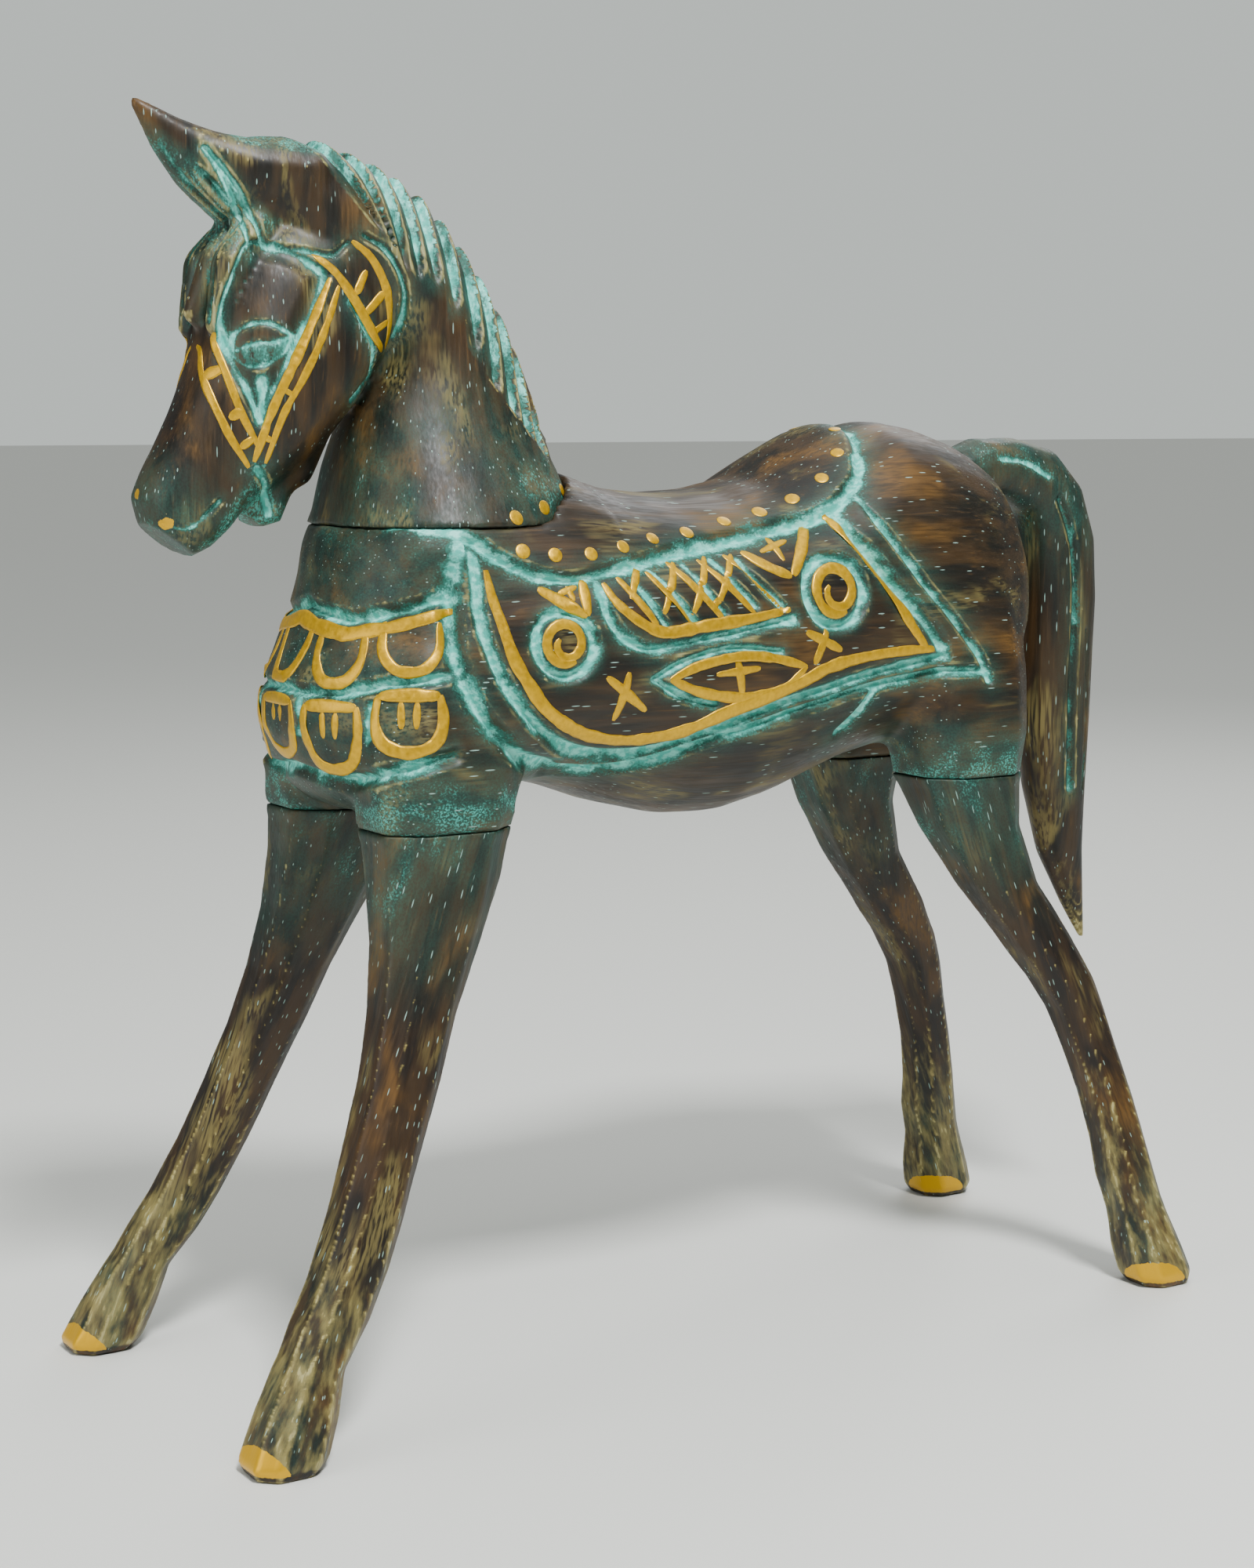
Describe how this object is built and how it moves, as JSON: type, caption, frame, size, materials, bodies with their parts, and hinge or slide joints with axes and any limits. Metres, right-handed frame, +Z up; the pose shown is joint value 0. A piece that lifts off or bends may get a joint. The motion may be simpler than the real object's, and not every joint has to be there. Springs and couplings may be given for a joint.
{
  "type": "carved wooden horse figurine",
  "caption": "Free-standing carved wooden horse figurine with saddle, blanket, breast collar, bridle and splayed legs, glued up from separate carved blocks.",
  "frame": {"origin": "on the ground under the middle of the object's box", "axes": "-Y towards the nose, +X towards the horse's left side, +Z up"},
  "size_m": [0.1166, 0.2858, 0.3],
  "materials": {
    "carved_wood": "dark stain with a turquoise wash in the cuts, gold painted lines and a satin wax",
    "dowel_wood": "bare turned hardwood",
    "gold_paint": "hand-painted satin gold"
  },
  "bodies": {
    "root": {"trunk": "carved_wood", "neck_and_head": "carved_wood", "tail": "carved_wood", "front_left_leg": "carved_wood", "front_right_leg": "carved_wood", "rear_left_leg": "carved_wood", "rear_right_leg": "carved_wood", "neck_dowel_front": "dowel_wood", "neck_dowel_rear": "dowel_wood", "tail_dowel": "dowel_wood", "front_left_dowel": "dowel_wood", "front_right_dowel": "dowel_wood", "rear_left_dowel": "dowel_wood", "rear_right_dowel": "dowel_wood"}
  },
  "joints": []
}
